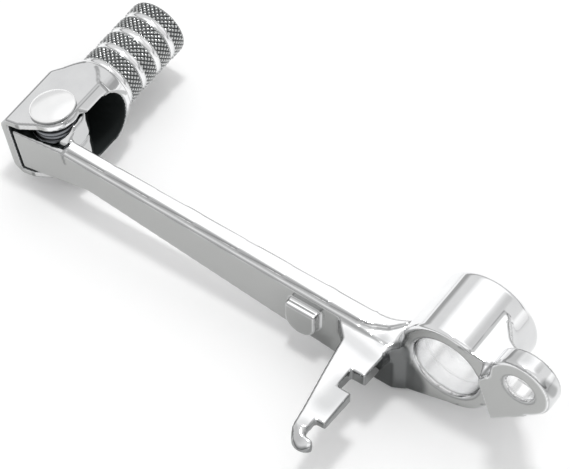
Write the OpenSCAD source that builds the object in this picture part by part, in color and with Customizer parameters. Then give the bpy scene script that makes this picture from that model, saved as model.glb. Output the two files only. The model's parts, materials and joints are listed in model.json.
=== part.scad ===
// Rear brake pedal with a folding toe piece.
// X runs from the toe piece (-X) towards the push-rod ear (+X), Y runs along the pivot bore and Z is up.
// The origin is the middle of the bore. Inside the modules Y starts at the hub's near face,
// and the module placed() moves everything so that the middle of the bore comes to the origin.

/* [Pivot hub] */
// Diameter of the pivot bore
bore_d = 20.5; // [16:0.5:23]
// Outside diameter of the pivot hub
hub_d = 30; // [28:0.5:34]
// Length of the pivot hub along its bore
hub_len = 23.5; // [18:0.5:30]
// Chamfer at each mouth of the pivot bore
bore_chamfer = 0.75; // [0.4:0.05:1.2]
// Rounding of the hub's near edge
hub_near_round = 1.2; // [0.5:0.1:1.8]
// Rounding of the hub's far edge
hub_far_round = 2; // [0.8:0.1:3]
// How far the hub's lower corner reaches below the bore's axis
hub_foot = 18.6; // [17.5:0.1:21]

/* [Arm] */
// Distance along X from the pivot to the fold rivet
arm_reach = 133; // [115:1:160]
// Height of the rivet's middle below the pivot's axis
arm_drop = 3.7; // [0:0.1:8]
// How far the arm's near side stands proud of the hub's near face
arm_proud = 2; // [0.5:0.1:3]
// Thickness of the arm at the toe head
arm_w_toe = 5.2; // [4.4:0.1:6]
// Thickness of the arm at the hub
arm_w_hub = 6.8; // [5.5:0.1:9]
// Depth of the pivot's axis under the arm's top edge at the hub, negative when the edge is lower
arm_top = -0.6; // [-3:0.1:2]
// Height of the raised strip along the arm's top
strip_h = 1.2; // [0.5:0.1:2]
// Width of the low ledge beside the raised strip
ledge_w = 1.5; // [0.8:0.1:2.2]

/* [Toe head] */
// Lean of the fold axis towards the toe end, in degrees
toe_lean = 14.5; // [5:0.5:20]
// Distance of the fold axis behind the arm's near side
rivet_back = 9.3; // [8.8:0.1:10.5]
// Height of the toe head between the fork's ears
head_h = 16; // [14:0.5:18]
// Radius of the boss round the rivet
boss_r = 8.4; // [8:0.1:8.8]
// Radius of the spring pocket in the boss
pocket_r = 7.2; // [6.9:0.1:7.4]
// Depth of the spring pocket
pocket_depth = 6.4; // [5.6:0.1:7.5]
// Distance from the rivet to the toe head's square end
stop_x = 9.4; // [9.2:0.1:9.6]

/* [Toe piece] */
// Gap between the toe head and each ear of the fork
ear_gap = 0.06; // [0.03:0.01:0.3]
// Gap between the toe head's end and the fork's web
web_gap = 0.35; // [0.1:0.05:0.6]
// Thickness of each ear of the fork
ear_t = 2.45; // [2:0.05:3.2]
// Thickness of the fork's web
web_t = 3.1; // [2.4:0.1:4]
// Distance from the rivet to the open side of the fork
fork_open = 8.9; // [8.6:0.1:9.6]
// Length of the fork ahead of the rivet
fork_front = 9.6; // [9.2:0.1:11]
// Radius of the fork's nose round the rivet head
nose_r = 7.4; // [7.2:0.1:8.2]
// Chamfer along the fork's outer corners
fork_chamfer = 2.6; // [1.5:0.1:3.2]
// Distance from the rivet to the centre of the hollow's round end
hollow_y = 9.9; // [9.5:0.1:10.6]
// Offset of the peg's axis from the rivet towards the web
peg_offset = 1.3; // [0:0.1:2.2]

/* [Peg] */
// Diameter of the peg over its knurled bands
peg_d = 18.4; // [15:0.1:19.5]
// Depth of the smooth grooves between the bands
groove_depth = 0.6; // [0.3:0.05:1]
// Width of one knurled band
band_w = 4.7; // [3.5:0.1:6]
// Width of one smooth groove
groove_w = 2.1; // [1.2:0.1:3]
// Number of knurled bands
band_n = 4; // [3:1:5]
// Chamfer at the peg's end
peg_chamfer = 0.7; // [0.3:0.1:1.5]

/* [Rivet] */
// Diameter of the rivet's shank
rivet_d = 8; // [7:0.1:8.4]
// Running clearance of the rivet in the toe head, on the radius
rivet_clear = 0.05; // [0.02:0.01:0.1]
// Diameter of the rivet's broad head
rivet_head_d = 13.5; // [12:0.1:14.4]
// Height of the straight rim of the rivet's head
rivet_rim = 1; // [0.6:0.1:1.6]
// Height of the low dome on the rivet's head
rivet_dome = 0.9; // [0.4:0.1:1.6]
// Diameter of the rivet's peened tail
rivet_tail_d = 10.6; // [9.6:0.1:12]

/* [Return spring] */
// Diameter of the spring wire
wire_d = 1.3; // [1:0.1:1.5]
// Outside diameter of the coil
coil_d = 13.4; // [12.8:0.1:13.6]
// Number of turns in the coil
coil_n = 3.5; // [2.5:0.5:3.5]

/* [Hook plate] */
// Level of the hook plate's top below the pivot's axis
plate_drop = 1; // [0:0.1:3]
// Reach of the hook plate beyond the hub's near face
plate_reach = 42; // [38:0.5:50]
// Distance along X from the pivot to the plate's notched edge
plate_edge = 16.4; // [15.5:0.1:19]
// Width of the plate at its outer end
plate_w_tip = 7.4; // [6.5:0.1:9]
// Width of the plate where it leaves the arm
plate_w_root = 13.4; // [11:0.1:18]
// Thickness of the plate at its root
plate_t = 6.2; // [4.5:0.1:8]
// Thickness of the plate beside the outer notch
plate_t_tip = 2.9; // [2.2:0.1:4]
// Distance from the hub's near face to the first notch
notch1_y = 13.8; // [11:0.1:15]
// Length of the first notch
notch1_len = 6.4; // [5:0.1:8]
// Depth of the first notch
notch1_depth = 4.4; // [3:0.1:5]
// Distance from the hub's near face to the second notch
notch2_y = 32.5; // [30:0.1:33]
// Length of the second notch
notch2_len = 5.3; // [4.2:0.1:5.8]
// Depth of the second notch
notch2_depth = 3.1; // [2:0.1:3.6]
// How far the plate's tip curls down below its top
tip_curl = 4.6; // [4:0.1:7]

/* [Push-rod ear] */
// Distance along X from the pivot to the ear's hole
ear_x = 25.6; // [24.5:0.1:30]
// Height of the ear's hole above the pivot
ear_z = 17.4; // [14:0.1:20]
// Diameter of the ear's hole
ear_hole_d = 8.5; // [6:0.1:10]
// Chamfer at each mouth of the ear's hole
ear_hole_chamfer = 0.7; // [0.3:0.05:1]
// Outside radius of the ear
ear_r = 9.6; // [8.4:0.1:11]
// Thickness of the ear
ear_w = 6; // [4.5:0.1:8]
// How far the ear stands proud of the hub's near face
ear_proud = 5; // [3:0.1:6]

/* [Stop lug] */
// Distance along X from the pivot to the middle of the lug
lug_x = 43.9; // [40:0.5:60]
// Width of the lug
lug_w = 9.8; // [8:0.1:12]
// Height of the lug
lug_h = 10.2; // [8.5:0.1:11]
// Level of the lug's top below the pivot's axis
lug_drop = 3.2; // [2:0.1:5]
// How far the lug stands out from the arm
lug_t = 3; // [2:0.1:5]

/* [Hidden] */
$fn = 96;
big = 200;
eps = 0.01;

hub_r = hub_d / 2;
arm_near = -arm_proud;
rivet_y = arm_near + rivet_back;
half_h = head_h / 2;
ear_in = half_h + ear_gap;
ear_out = ear_in + ear_t;
web_in = stop_x + web_gap;
web_out = web_in + web_t;
peg_r = peg_d / 2;
groove_r = peg_r - groove_depth;
rivet_r = rivet_d / 2;
pocket_floor = half_h - pocket_depth;
// Chamfer round the top of the boss
boss_rim = 0.8;

// Heights of the toe head's top edge, in the toe head's own frame
lip_end = half_h - 1.8;
lip_neck = half_h - 3.5;
neck_x = 7;
lip_mid = (lip_end * neck_x + lip_neck * stop_x) / (neck_x + stop_x);
// Level length of the toe head's underside past the rivet, which clears the folded fork
waist_x = 14;
// Slimmest part of the boss, under the pocket, and the tongue below it
boss_waist = 1.2;
tongue_drop = 0.7;
boss_step = 2.6;
// Thickness of the boss's flange under the pocket
floor_t = 1;

// Length of the toe piece's round body past the hollow, and where its peg starts
body_wall = 2.5;
body_end = hollow_y + ear_in + body_wall;
band_start = body_end + groove_w;
cone_start = hollow_y;
body_r = peg_r + 0.9;

// Where the hub's lower corner stands and where its near face ends below
foot_x = 9.5;
tip_y = -plate_reach;
ear_front = -ear_proud;
ear_back = ear_front + ear_w;
foot_drop = 20.6;
// Where the hub's share of the arm ends and the arm's own begins, just outside the barrel
seam_x = hub_r + 1.3;
// Length and width of the sweep in which the arm runs out into the barrel
sweep_len = 11;
sweep_out = 5;
// Length and width of the bend in which the ledge runs out round the barrel
bend_len = 13;
bend_out = 9;
// Width of the ear's foot before its hole, and where the foot's heel stands
ear_root = 12.6;
ear_heel = 8;

// A point of the toe head's frame, given in the X-Z plane of the whole pedal
function toe_pt(x, z) = [
    -arm_reach + x * cos(toe_lean) - z * sin(toe_lean),
    -arm_drop + x * sin(toe_lean) + z * cos(toe_lean)
];

// Puts a shape that is drawn round the fold axis into its place
module at_toe() {
    translate([-arm_reach, rivet_y, -arm_drop]) rotate([0, -toe_lean, 0]) children();
}

// Moves a node from the hub's near face to the middle of the bore
module placed() {
    translate([0, -hub_len / 2, 0]) children();
}

// Extrudes an outline that is drawn in X and Z along Y, from y0 to y1
module along_y(y0, y1) {
    translate([0, y1, 0]) rotate([90, 0, 0]) linear_extrude(y1 - y0) children();
}

// Extrudes an outline that is drawn in Y and Z along X, from x0 to x1
module along_x(x0, x1) {
    translate([x0, 0, 0]) rotate([90, 0, 90]) linear_extrude(x1 - x0) children();
}

// Turns an outline that is drawn as radius and distance along Y about the Y axis
module turn_y() {
    rotate([-90, 0, 0]) rotate_extrude() children();
}

// Half of the hub's section, with its near and far edges rounded
module hub_section() {
    difference() {
        square([hub_r, hub_len]);
        difference() {
            translate([hub_r - hub_near_round, -eps]) square([hub_near_round + eps, hub_near_round + eps]);
            translate([hub_r - hub_near_round, hub_near_round]) circle(hub_near_round);
        }
        difference() {
            translate([hub_r - hub_far_round, hub_len - hub_far_round])
                square([hub_far_round + eps, hub_far_round + eps]);
            translate([hub_r - hub_far_round, hub_len - hub_far_round]) circle(hub_far_round);
        }
    }
}

// Half of the section of a through hole with a chamfer at each mouth
module hole_section(r, len, chamfer) {
    polygon([
        [0, -eps], [r + chamfer + eps, -eps], [r, chamfer], [r, len - chamfer],
        [r + chamfer + eps, len + eps], [0, len + eps]
    ]);
}

// Side outline of the arm's low ledge, from the toe head's end to the hub
module arm_side(rise = 0) {
    polygon([
        toe_pt(-stop_x, lip_end), toe_pt(neck_x, lip_neck) + [0, rise], [-hub_r, arm_top + rise],
        [-bore_d / 2 - 1, arm_top + rise], [-bore_d / 2 - 1, -hub_r / 2], [-foot_x, -hub_foot],
        [-foot_x - 4, -hub_foot - 1], [-foot_x - 11, -hub_foot - 0.8],
        toe_pt(waist_x, -half_h), toe_pt(-stop_x, -half_h)
    ]);
}

// Plan outline of the arm, which sweeps into the barrel of the hub on its far side
module arm_plan() {
    far = arm_near + arm_w_hub;
    polygon([
        [-arm_reach - 2 * stop_x, arm_near], [-hub_r - 0.5, arm_near], [-hub_r + 3.5, 0], [0, 0],
        [0, far + sweep_out], [-hub_r + 1, far + sweep_out], [-hub_r - 1, far + 0.72 * sweep_out],
        [-hub_r - 0.4 * sweep_len, far + 0.34 * sweep_out], [-hub_r - sweep_len, far],
        [-arm_reach + waist_x, arm_near + arm_w_toe],
        [-arm_reach - 2 * stop_x, arm_near + arm_w_toe]
    ]);
}

// Plan outline of the raised strip, which bends away from the ledge beside the hub
module strip_plan() {
    ledge = arm_near + ledge_w;
    polygon([
        [-arm_reach - 2 * stop_x, ledge], [-hub_r - bend_len, ledge],
        [-hub_r - 0.7 * bend_len, ledge + 0.08 * bend_out],
        [-hub_r - 0.35 * bend_len, ledge + 0.32 * bend_out],
        [-hub_r - 1, ledge + 0.82 * bend_out], [-hub_r, ledge + bend_out],
        [0, hub_len], [-arm_reach - 2 * stop_x, hub_len]
    ]);
}

// The arm: a tall thin bar with a raised strip along its far top edge
module arm() {
    intersection() {
        along_y(arm_near, hub_len) arm_side();
        translate([0, 0, -big / 2]) linear_extrude(big) arm_plan();
    }
    intersection() {
        along_y(arm_near, hub_len) arm_side(strip_h);
        translate([0, 0, -big / 2]) linear_extrude(big) intersection() {
            arm_plan();
            strip_plan();
        }
        translate([-arm_reach + neck_x, -big / 2, -big / 2]) cube(big);
    }
}

// The hub's lower corner, which carries the arm's lower edge into the hub
module hub_foot_web() {
    corner = [-foot_x, -hub_foot];
    seen = acos((hub_r - hub_near_round / 2) / norm(corner));
    turn = atan2(corner[1], corner[0]) + seen;
    along_y(0, arm_near + arm_w_hub) polygon([
        [-hub_r + 1, 0], [-hub_r, -hub_r / 2], corner,
        (hub_r - hub_near_round / 2) * [cos(turn), sin(turn)], [0, 0]
    ]);
}

// The toe head: a square stop towards the web, a boss with its spring pocket and a low near lip
module toe_head() {
    at_toe() difference() {
        union() {
            translate([-stop_x, -rivet_back, -half_h]) cube([stop_x, rivet_back, head_h]);
            along_y(-rivet_back, 0) polygon([
                [-eps, pocket_floor - floor_t], [boss_r, pocket_floor - floor_t], [boss_r, half_h - boss_rim],
                [boss_r - boss_rim, half_h], [-eps, half_h]
            ]);
            translate([0, 0, pocket_floor - floor_t])
                cylinder(r = boss_r, h = pocket_depth + floor_t - boss_rim);
            translate([0, 0, half_h - boss_rim]) cylinder(r1 = boss_r, r2 = boss_r - boss_rim, h = boss_rim);
            translate([0, 0, -half_h]) cylinder(r = boss_r - boss_waist, h = head_h - eps);
            translate([0, 0, -half_h]) cylinder(r = boss_r - tongue_drop, h = head_h - pocket_depth - boss_step);
        }
        rotate([0, atan((lip_end - lip_neck) / (stop_x + neck_x)), 0]) along_x(-big / 2, big / 2) polygon([
            [-rivet_back - 1, lip_mid], [-pocket_r + 1, lip_mid],
            [-pocket_r / 9, half_h + 1], [-rivet_back - 1, half_h + 1]
        ]);
    }
}

// The hook plate's outline in plan, with its two notches
module plate_plan() {
    difference() {
        polygon([
            [-plate_edge - plate_w_root - 3.2, arm_near],
            [-plate_edge - plate_w_root + 1.2, arm_near - 4.6],
            [-plate_edge - (plate_w_root + plate_w_tip) / 2, -notch1_y - 4],
            [-plate_edge - plate_w_tip - 0.6, -notch2_y + 1.5],
            [-plate_edge - plate_w_tip + 0.4, tip_y + 4],
            [-plate_edge - plate_w_tip + 2.2, tip_y + 1.2],
            [-plate_edge - plate_w_tip + 4.2, tip_y],
            [-plate_edge - 1.2, tip_y + 0.2], [-plate_edge + 0.9, tip_y + 2.4],
            [-plate_edge, -notch2_y - notch2_len],
            [-plate_edge, -notch1_y], [-plate_edge + 0.4, arm_near - 2], [-plate_edge + 0.6, arm_near]
        ]);
        translate([-plate_edge - notch1_depth, -notch1_y - notch1_len])
            square([notch1_depth + 5, notch1_len]);
        translate([-plate_edge - notch2_depth, -notch2_y - notch2_len])
            square([notch2_depth + 5, notch2_len]);
    }
}

// The hook plate's side outline: level on top, thinner outwards, with its tip curled down
module plate_side() {
    polygon([
        [arm_near, 0], [tip_y + 6, 0], [tip_y + 3, -0.7], [tip_y + 1.2, -2], [tip_y, -tip_curl + 1.6],
        [tip_y + 1.2, -tip_curl], [tip_y + 3.4, -tip_curl], [-notch2_y - notch2_len, -plate_t_tip - 1],
        [-notch2_y, -plate_t_tip], [arm_near, -plate_t]
    ]);
}

// The hook plate, which holds the return spring and the lamp switch's spring, up to the arm's near side
module hook_plate() {
    color("gainsboro") placed() translate([0, 0, -plate_drop]) intersection() {
        translate([0, 0, -big / 2]) linear_extrude(big) plate_plan();
        along_x(-plate_edge - 2 * plate_w_root, -plate_edge + 5) plate_side();
    }
}

// The push-rod ear with the foot and the gusset that tie it to the hub
module push_rod_ear() {
    along_y(ear_front, ear_back) {
        translate([ear_x, ear_z]) circle(ear_r);
        polygon([
            [ear_x - ear_root, ear_z - 6], [ear_x - ear_root, ear_z - 7.4],
            [ear_x - ear_heel, ear_z - foot_drop],
            [ear_x + ear_r * cos(-50), ear_z + ear_r * sin(-50)], [ear_x, ear_z], [ear_x - ear_r + 1, ear_z]
        ]);
    }
    intersection() {
        union() {
            along_y(0, hub_len) polygon([
                [0, hub_r - 1.6], [ear_x - 14, hub_r - 2.2], [ear_x - 4, hub_r - 3], [ear_x + 1, hub_r - 6],
                [ear_x - ear_heel, ear_z - foot_drop], [hub_r - 4, -hub_r / 2], [0, 0]
            ]);
            along_y(ear_front, 0) polygon([
                [0, hub_r - 1.6], [ear_x - 14, hub_r - 2.2], [ear_x - 6, hub_r - 3],
                [ear_x - 6, ear_z - foot_drop + 5], [ear_x - 12.4, ear_z - 7.6], [0, 0]
            ]);
        }
        translate([0, 0, -big / 2]) linear_extrude(big) polygon([
            [hub_r - 3.2, 0], [ear_x - ear_root, ear_front + 0.8], [ear_x - ear_root + 2, ear_front],
            [ear_x - 7, ear_front],
            [ear_x - 1, ear_back - 1], [ear_x - 1, ear_back], [ear_x - 7.5, hub_len * 0.38],
            [hub_r - 1, hub_len * 0.46], [hub_r - 6, hub_len * 0.7], [0, hub_len * 0.7], [0, 0]
        ]);
    }
}

// The stop lug on the arm's near side, round below
module stop_lug() {
    along_y(arm_near - lug_t, 0) translate([-lug_x - lug_w / 2, -lug_drop - lug_h]) {
        translate([0, lug_w / 2]) square([lug_w, lug_h - lug_w / 2]);
        translate([lug_w / 2, lug_w / 2]) circle(lug_w / 2);
    }
}

// The hub with the near end of the arm and the push-rod ear
module pedal_hub() {
    color("gainsboro") placed() difference() {
        union() {
            turn_y() hub_section();
            intersection() {
                arm();
                translate([-seam_x, -big / 2, -big / 2]) cube(big);
            }
            hub_foot_web();
            push_rod_ear();
        }
        turn_y() hole_section(bore_d / 2, hub_len, bore_chamfer);
        translate([ear_x, ear_front, ear_z]) turn_y() hole_section(ear_hole_d / 2, ear_w, ear_hole_chamfer);
    }
}

// The arm from the hub on, with its stop lug and the toe head
module pedal_arm() {
    color("gainsboro") placed() difference() {
        union() {
            intersection() {
                arm();
                translate([-seam_x - big, -big / 2, -big / 2]) cube(big);
            }
            toe_head();
            stop_lug();
        }
        at_toe() translate([0, 0, pocket_floor]) cylinder(r = pocket_r, h = pocket_depth + 1);
        at_toe() translate([0, 0, -head_h]) cylinder(r = rivet_r + rivet_clear, h = 2 * head_h);
    }
}

// Section of the fork across the peg's axis, with chamfered corners
module fork_section() {
    polygon([
        [-web_out + fork_chamfer, -ear_out], [fork_open - fork_chamfer, -ear_out],
        [fork_open, -ear_out + fork_chamfer], [fork_open, ear_out - fork_chamfer],
        [fork_open - fork_chamfer, ear_out], [-web_out + fork_chamfer, ear_out],
        [-web_out, ear_out - fork_chamfer], [-web_out, -ear_out + fork_chamfer]
    ]);
}

// The fork and round body before they are hollowed out
module fork_body() {
    intersection() {
        along_y(-fork_front, body_end) fork_section();
        translate([-peg_offset, 0, 0]) turn_y() polygon([
            [0, -fork_front - 1], [big / 8, -fork_front - 1], [big / 8, cone_start - 6],
            [body_r + 5, cone_start], [body_r + 2.2, cone_start + 4.6], [body_r, body_end], [0, body_end]
        ]);
    }
}

// The hollow between the ears, with its round end
module fork_hollow() {
    along_x(-web_in, big) {
        translate([-big, -ear_in]) square([big + hollow_y, 2 * ear_in]);
        translate([hollow_y, 0]) circle(ear_in);
    }
}

// What is cut off the ears ahead of the rivet, round the nose
module nose_cut() {
    translate([0, 0, -big / 2]) linear_extrude(big) difference() {
        polygon([
            [-6, -big], [-6, -fork_front - eps], [fork_open + eps, 4.5], [big, 4.5], [big, -big]
        ]);
        circle(nose_r);
        polygon([[-6, -fork_front], [0, -nose_r], [0, 0], [-6, 0]]);
    }
}

// Half of the peg's section, with knurled bands standing above smooth grooves
module peg_section() {
    band_end = band_start + band_n * (band_w + groove_w) - groove_w;
    square([groove_r, band_end - peg_chamfer]);
    for (i = [0 : band_n - 1])
        translate([0, band_start + i * (band_w + groove_w)])
            square([peg_r, i < band_n - 1 ? band_w : band_w - peg_chamfer]);
    polygon([
        [0, band_end - peg_chamfer], [peg_r, band_end - peg_chamfer],
        [peg_r - peg_chamfer, band_end], [0, band_end]
    ]);
}

module toe_piece() {
    color("silver") placed() at_toe() difference() {
        union() {
            fork_body();
            translate([-peg_offset, 0, 0]) turn_y() difference() {
                peg_section();
                translate([-eps, -eps]) square([peg_r + 1, body_end - 1]);
            }
        }
        fork_hollow();
        nose_cut();
        translate([0, 0, -head_h]) cylinder(r = rivet_r, h = 2 * head_h);
    }
}

module pivot_rivet() {
    dome_r = (pow(rivet_head_d / 2, 2) + pow(rivet_dome, 2)) / (2 * rivet_dome);
    color("whitesmoke") placed() at_toe() {
        translate([0, 0, -ear_out - 1]) cylinder(r = rivet_r, h = 2 * ear_out + 1.5);
        translate([0, 0, ear_out]) cylinder(d = rivet_head_d, h = rivet_rim);
        translate([0, 0, ear_out + rivet_rim]) intersection() {
            translate([0, 0, rivet_dome - dome_r]) sphere(dome_r);
            cylinder(d = rivet_head_d, h = rivet_dome + 1);
        }
        translate([0, 0, -ear_out - 1.2]) cylinder(d = rivet_tail_d, h = 1.2);
    }
}

// A tube of 8 sides along a list of points
module wire(points, r) {
    sides = 8;
    n = len(points);
    rings = [for (i = [0 : n - 1]) let (
        ahead = points[min(i + 1, n - 1)] - points[max(i - 1, 0)],
        t = ahead / norm(ahead),
        ref = abs(t[2]) > 0.9 ? [t[1] > 0 ? 1 : -1, 0, 0] : [0, 0, 1],
        u = cross(ref, t) / norm(cross(ref, t)),
        v = cross(t, u)
    ) for (k = [0 : sides - 1]) points[i] + r * (cos(360 * k / sides) * u + sin(360 * k / sides) * v)];
    faces = concat(
        [[for (k = [0 : sides - 1]) k]],
        [for (i = [0 : n - 2]) for (k = [0 : sides - 1]) [
            i * sides + k, (i + 1) * sides + k,
            (i + 1) * sides + (k + 1) % sides, i * sides + (k + 1) % sides
        ]],
        [[for (k = [sides - 1 : -1 : 0]) (n - 1) * sides + k]]
    );
    polyhedron(rings, faces, convexity = 10);
}

module return_spring() {
    coil_r = (coil_d - wire_d) / 2;
    z0 = pocket_floor + wire_d / 2 + 0.1;
    z1 = half_h - wire_d / 2 - 0.3;
    steps = ceil(coil_n * 24);
    coil = [for (i = [0 : steps]) let (a = 360 * coil_n * i / steps)
        [coil_r * cos(a), coil_r * sin(a), z0 + (z1 - z0) * i / steps]];
    color("dimgray") placed() at_toe() wire(coil, wire_d / 2);
}

pedal_hub();
pedal_arm();
hook_plate();
toe_piece();
pivot_rivet();
return_spring();
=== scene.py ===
"""Looks of a polished rear brake pedal with a folding, knurled toe piece.

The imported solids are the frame. Each class below dresses one sub-assembly: the forged casting, the
folding toe piece, its peg, the rivet and the return spring. All lengths are metres in the frame of the
solids: +Y runs along the pivot bore, -X along the arm to the toe piece and +Z is up.
"""

from __future__ import annotations

import json
import logging
import math
from dataclasses import dataclass, field
from enum import Enum
from typing import Callable

import bmesh
import bpy
from bmesh.types import BMesh, BMVert
from mathutils import Matrix, Vector
from mathutils.bvhtree import BVHTree
from mathutils.kdtree import KDTree

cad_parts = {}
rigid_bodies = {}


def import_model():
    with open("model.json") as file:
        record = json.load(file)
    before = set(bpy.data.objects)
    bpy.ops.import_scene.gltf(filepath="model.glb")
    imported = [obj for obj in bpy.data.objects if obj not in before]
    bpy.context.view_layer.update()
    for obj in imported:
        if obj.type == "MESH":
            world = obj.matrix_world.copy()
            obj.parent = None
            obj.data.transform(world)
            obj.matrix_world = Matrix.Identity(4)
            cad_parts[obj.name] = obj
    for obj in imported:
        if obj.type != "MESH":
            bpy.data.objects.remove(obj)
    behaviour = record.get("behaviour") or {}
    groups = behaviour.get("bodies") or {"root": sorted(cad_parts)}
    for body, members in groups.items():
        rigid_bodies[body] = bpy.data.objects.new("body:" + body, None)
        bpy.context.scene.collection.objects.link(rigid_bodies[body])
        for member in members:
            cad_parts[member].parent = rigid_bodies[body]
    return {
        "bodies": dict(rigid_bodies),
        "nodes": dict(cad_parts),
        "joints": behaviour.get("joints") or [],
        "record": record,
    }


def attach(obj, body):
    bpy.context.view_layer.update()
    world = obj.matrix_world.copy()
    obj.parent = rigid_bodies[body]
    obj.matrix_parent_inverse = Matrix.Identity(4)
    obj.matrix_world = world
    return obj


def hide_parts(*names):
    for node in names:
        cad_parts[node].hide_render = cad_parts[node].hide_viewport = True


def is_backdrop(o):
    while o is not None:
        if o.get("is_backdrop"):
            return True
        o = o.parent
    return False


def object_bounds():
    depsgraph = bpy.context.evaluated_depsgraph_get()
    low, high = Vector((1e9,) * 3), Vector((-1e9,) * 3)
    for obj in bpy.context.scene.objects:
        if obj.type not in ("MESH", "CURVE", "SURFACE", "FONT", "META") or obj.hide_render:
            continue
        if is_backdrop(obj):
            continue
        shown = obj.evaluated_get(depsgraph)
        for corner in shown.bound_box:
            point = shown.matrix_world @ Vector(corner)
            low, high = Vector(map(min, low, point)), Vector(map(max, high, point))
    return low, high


Piece = bpy.types.Object
Socket = bpy.types.NodeSocket
Tree = bpy.types.NodeTree
Triple = tuple[float, float, float]
LOG = logging.getLogger("brake_pedal")
MM = 0.001
FLOOR_GAP = 0.2 * MM  # how far the floor lies under the solids
SEAM_SLACK = 0.01 * MM  # how far a corner may lie from a seam that it belongs to
WALL_REACH = 0.12 * MM  # how far a point may lie from a round wall that it belongs to
FACING_FADE = 0.15  # cosines over which a shade fades at walls that turn away
FLAT_START, FLAT_FADE = 0.90, 0.07  # cosine at which a near-side flat with its painted grey starts, and its fade
PAINTED_LINE_START, PAINTED_LINE_FADE = 0.72, 0.25  # closeness to an edge at which its painted dark line starts, and its fade
SINK_START, SINK_FADE = 0.1, 0.7  # depth in the knurl at which painted shade darkens it, and its fade


class Region(Enum):
    """The finishes that one skin can carry, in the order of its material slots."""

    POLISHED = 0
    # On the casting and the toe body, CAVITY's finish is a dark painted shade inside hollows and pockets.
    CAVITY = 1
    TURNED = 2


@dataclass(frozen=True)
class RoundWall:
    """A round wall whose skin is set to its exact radius.

    Attributes:
        place: Matrix from the wall's own frame, where it runs along Z, to the model's frame.
        radius: Radius of the wall.
        low: Lowest point of the wall along its axis.
        high: Highest point of the wall along its axis.
    """

    place: Matrix
    radius: float
    low: float
    high: float

    def settle(self, point: Vector, reach: float) -> Vector | None:
        """Moves a point near the wall onto it.

        Args:
            point: A point on or close to the skin.
            reach: Largest distance from the wall at which the point still belongs to it.

        Returns:
            The point on the wall, or None where the point belongs to something else.
        """
        local = self.place.inverted() @ point
        if not self.low < local.z < self.high:
            return None
        out = math.hypot(local.x, local.y)
        if out < 1e-6 or abs(out - self.radius) > reach:
            return None
        scale = self.radius / out
        return self.place @ Vector((local.x * scale, local.y * scale, local.z))


def clamped(value: float) -> float:
    """Returns a number held between 0 and 1.

    Args:
        value: The number.
    """
    return min(1.0, max(0.0, value))


def eased(share: float) -> float:
    """Returns a share from 0 to 1 with a soft start and end.

    Args:
        share: The share.
    """
    return share * share * (3 - 2 * share)


def bore_frame(centre: Vector) -> Matrix:
    """Returns a frame whose Z runs along the model's +Y through a centre.

    Args:
        centre: A point on the axis.
    """
    return Matrix.Translation(centre) @ Matrix.Rotation(-math.pi / 2, 4, "X")


@dataclass(frozen=True)
class FoldFrame:
    """Where the toe piece folds on its rivet.

    Attributes:
        origin: Middle of the rivet.
        lean: Lean of the rivet's axis towards the toe end, in radians.
    """

    origin: Vector = Vector((-0.133, -0.00445, -0.0037))
    lean: float = math.radians(14.5)

    def matrix(self) -> Matrix:
        """Returns the matrix from the toe head's own frame to the model's frame."""
        return Matrix.Translation(self.origin) @ Matrix.Rotation(-self.lean, 4, "Y")

    def peg(self, offset: float) -> Matrix:
        """Returns the matrix from the peg's own frame, along Z, to the model's frame.

        Args:
            offset: Offset of the peg's axis from the rivet.
        """
        return self.matrix() @ Matrix.Translation((-offset, 0, 0)) @ Matrix.Rotation(-math.pi / 2, 4, "X")


class MeshTools:
    """Small helpers that turn a bmesh into a piece and take a copy of a solid's mesh."""

    @staticmethod
    def to_object(shape: BMesh, name: str) -> Piece:
        """Makes a bmesh a smooth-shaded object at the origin.

        Args:
            shape: The finished bmesh, which is freed.
            name: Name of the piece.

        Returns:
            The new object, linked into the scene.
        """
        mesh = bpy.data.meshes.new(name)
        for face in shape.faces:
            face.smooth = True
        shape.to_mesh(mesh)
        shape.free()
        obj = bpy.data.objects.new(name, mesh)
        bpy.context.scene.collection.objects.link(obj)
        return obj

    @staticmethod
    def note(piece: Piece, label: str, values: list[float]) -> None:
        """Writes one number for each corner of a piece into an attribute.

        Args:
            piece: The piece.
            label: Name of the attribute.
            values: The numbers.
        """
        piece.data.attributes.new(label, "FLOAT", "POINT").data.foreach_set("value", values)

    @staticmethod
    def merged_copy(*nodes: Piece) -> BMesh:
        """Returns a copy of some solids' meshes in one, with their doubled corners merged.

        Args:
            nodes: The solids' objects, which are left as they are.
        """
        shape = bmesh.new()
        for node in nodes:
            shape.from_mesh(node.data)
        bmesh.ops.remove_doubles(shape, verts=shape.verts[:], dist=1e-6)
        return shape

    @staticmethod
    def smooth(shape: BMesh, verts: list[BMVert], factor: float, passes: int) -> None:
        """Draws corners towards the middle of their neighbours.

        Args:
            shape: The mesh.
            verts: The corners to move.
            factor: How far a pass moves them, from 0 to 1.
            passes: Number of passes.
        """
        for _ in range(passes):
            bmesh.ops.smooth_vert(
                shape, verts=verts, factor=factor, use_axis_x=True, use_axis_y=True, use_axis_z=True
            )

    @staticmethod
    def spun(profile: list[tuple[float, float]], place: Matrix, steps: int) -> BMesh:
        """Spins a closed outline about an axis.

        Args:
            profile: Corners as (radius, height) in metres, from axis to axis.
            place: Matrix that puts the Z axis of the turned shape in its place.
            steps: Number of steps round.

        Returns:
            The closed, turned shape.
        """
        shape = bmesh.new()
        corners = [shape.verts.new((radius, 0.0, height)) for radius, height in profile]
        edges = [shape.edges.new(pair) for pair in zip(corners, corners[1:])]
        bmesh.ops.spin(
            shape, geom=corners + edges, cent=(0, 0, 0), axis=(0, 0, 1), angle=2 * math.pi,
            steps=steps, use_merge=True, use_duplicate=False,
        )
        bmesh.ops.remove_doubles(shape, verts=shape.verts[:], dist=1e-7)
        bmesh.ops.recalc_face_normals(shape, faces=shape.faces[:])
        bmesh.ops.transform(shape, matrix=place, verts=shape.verts[:])
        return shape


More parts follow.
